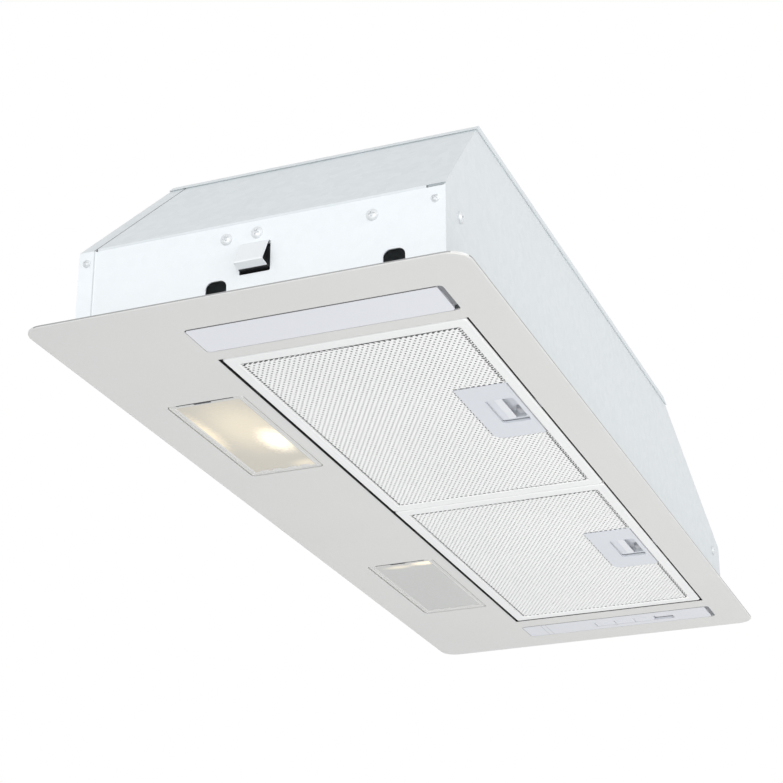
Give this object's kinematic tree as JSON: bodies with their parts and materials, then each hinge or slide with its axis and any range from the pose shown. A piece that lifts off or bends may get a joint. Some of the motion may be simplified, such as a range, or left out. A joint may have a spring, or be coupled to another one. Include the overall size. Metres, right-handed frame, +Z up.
{
  "type": "ceiling range hood",
  "caption": "Built-in canopy range hood for a ceiling or cabinet cut-out, with filters, lamps, push buttons, fan and duct collar.",
  "frame": {"origin": "middle of the face plate's lower face, which is the lowest face of the hood", "axes": "+Z up into the cabinet, -Y towards the front with the lamps, +X towards the end with the blank strip, -X towards the controls"},
  "size_m": [0.72, 0.274, 0.1647],
  "materials": {
    "plate_paint": "satin",
    "body_sheet": "satin",
    "band_sheet": "satin",
    "galvanised": "satin",
    "filter_alloy": "satin",
    "grey_plastic": "fine grain",
    "latch_plastic": "fine grain",
    "lamp_lens": "frosted",
    "bulb_glass": "frosted",
    "holder_plastic": "plain",
    "button_plastic": "satin",
    "switch_plastic": "plain",
    "spring_steel": "bright",
    "collar_plastic": "fine grain",
    "flap_plastic": "fine grain",
    "wheel_plastic": "plain",
    "motor_steel": "plain",
    "shaft_steel": "turned",
    "bronze": "sintered",
    "rubber": "plain",
    "screw_zinc": "zinc plated",
    "capacitor_case": "plain"
  },
  "bodies": {
    "hood": {"face_plate": "plate_paint", "front_wall": "body_sheet", "back_wall": "body_sheet", "near_end_band": "band_sheet", "far_end_band": "band_sheet", "near_end_panel": "body_sheet", "far_end_panel": "body_sheet", "near_partition": "galvanised", "far_partition": "galvanised", "top_cover": "body_sheet", "near_lamp_box": "galvanised", "far_lamp_box": "galvanised", "near_lamp_holder": "holder_plastic", "far_lamp_holder": "holder_plastic", "near_lamp_bulb": "bulb_glass", "far_lamp_bulb": "bulb_glass", "blank_strip": "grey_plastic", "control_strip": "grey_plastic", "switch_block": "switch_plastic", "near_clip_base": "spring_steel", "far_clip_base": "spring_steel", "outlet_collar": "collar_plastic", "damper_pin": "shaft_steel", "blower_housing": "collar_plastic", "inlet_ring": "collar_plastic", "motor": "motor_steel", "motor_bushes": "bronze", "motor_bracket": "galvanised", "motor_rubbers": "rubber", "terminal_box": "switch_plastic", "terminal_lid": "switch_plastic", "terminal_block": "holder_plastic", "cable_gland": "switch_plastic", "capacitor": "capacitor_case", "capacitor_strap": "galvanised", "near_end_screws": "screw_zinc", "far_end_screws": "screw_zinc", "back_screws": "screw_zinc", "collar_screws": "screw_zinc", "blower_screws": "screw_zinc"},
    "near_filter": {"near_filter_frame": "filter_alloy", "near_filter_mesh": "filter_alloy", "near_latch_plate": "latch_plastic"},
    "near_latch": {"near_filter_latch": "latch_plastic"},
    "near_lamp_door": {"near_lamp_cover": "lamp_lens"},
    "near_clip": {"near_spring_clip": "spring_steel"},
    "near_damper": {"near_damper_flap": "flap_plastic"},
    "far_filter": {"far_filter_frame": "filter_alloy", "far_filter_mesh": "filter_alloy", "far_latch_plate": "latch_plastic"},
    "far_latch": {"far_filter_latch": "latch_plastic"},
    "far_lamp_door": {"far_lamp_cover": "lamp_lens"},
    "far_clip": {"far_spring_clip": "spring_steel"},
    "far_damper": {"far_damper_flap": "flap_plastic"},
    "key_1": {"button_1": "button_plastic"},
    "key_2": {"button_2": "button_plastic"},
    "key_3": {"button_3": "button_plastic"},
    "key_4": {"button_4": "button_plastic"},
    "fan_wheel": {"impeller": "wheel_plastic", "motor_shaft": "shaft_steel"}
  },
  "joints": [
    {"name": "near_filter_hinge", "type": "hinge", "parent": "hood", "child": "near_filter", "pos_m": [0.13865, -0.0474, 0.0018], "axis": [1, 0, 0], "range_deg": [-60, 0]},
    {"name": "near_latch_slide", "type": "slide", "parent": "near_filter", "child": "near_latch", "axis": [0, 1, 0], "range_m": [-0.0045, 0], "stiffness_N_per_m": 200},
    {"name": "near_lamp_door_hinge", "type": "hinge", "parent": "hood", "child": "near_lamp_door", "pos_m": [0.10345, -0.0836, 0.003], "axis": [0, 1, 0], "range_deg": [0, 80]},
    {"name": "near_clip_flex", "type": "hinge", "parent": "hood", "child": "near_clip", "pos_m": [0.3317, 0, 0.0454], "axis": [0, 1, 0], "range_deg": [0, 28], "stiffness_Nm_per_rad": 0.4},
    {"name": "near_damper_hinge", "type": "hinge", "parent": "hood", "child": "near_damper", "pos_m": [-0.056, 0.014, 0.1447], "axis": [0, 1, 0], "range_deg": [-78, 0]},
    {"name": "far_filter_hinge", "type": "hinge", "parent": "hood", "child": "far_filter", "pos_m": [-0.14445, -0.0474, 0.0018], "axis": [1, 0, 0], "range_deg": [-60, 0]},
    {"name": "far_latch_slide", "type": "slide", "parent": "far_filter", "child": "far_latch", "axis": [0, 1, 0], "range_m": [-0.0045, 0], "stiffness_N_per_m": 200},
    {"name": "far_lamp_door_hinge", "type": "hinge", "parent": "hood", "child": "far_lamp_door", "pos_m": [-0.23275, -0.0836, 0.003], "axis": [0, 1, 0], "range_deg": [0, 80]},
    {"name": "far_clip_flex", "type": "hinge", "parent": "hood", "child": "far_clip", "pos_m": [-0.3317, 0, 0.0454], "axis": [0, 1, 0], "range_deg": [-28, 0], "stiffness_Nm_per_rad": 0.4},
    {"name": "far_damper_hinge", "type": "hinge", "parent": "hood", "child": "far_damper", "pos_m": [-0.056, 0.014, 0.1447], "axis": [0, 1, 0], "range_deg": [0, 78]},
    {"name": "key_1_press", "type": "slide", "parent": "hood", "child": "key_1", "axis": [0, 0, 1], "range_m": [0, 0.0022], "stiffness_N_per_m": 400, "springref_m": -0.001},
    {"name": "key_2_press", "type": "slide", "parent": "hood", "child": "key_2", "axis": [0, 0, 1], "range_m": [0, 0.0022], "stiffness_N_per_m": 400, "springref_m": -0.001},
    {"name": "key_3_press", "type": "slide", "parent": "hood", "child": "key_3", "axis": [0, 0, 1], "range_m": [0, 0.0022], "stiffness_N_per_m": 400, "springref_m": -0.001},
    {"name": "key_4_press", "type": "slide", "parent": "hood", "child": "key_4", "axis": [0, 0, 1], "range_m": [-0.0022, 0]},
    {"name": "fan_spin", "type": "hinge", "parent": "hood", "child": "fan_wheel", "pos_m": [0.168, 0.008, 0.09], "axis": [0, 0, 1], "continuous": true}
  ]
}
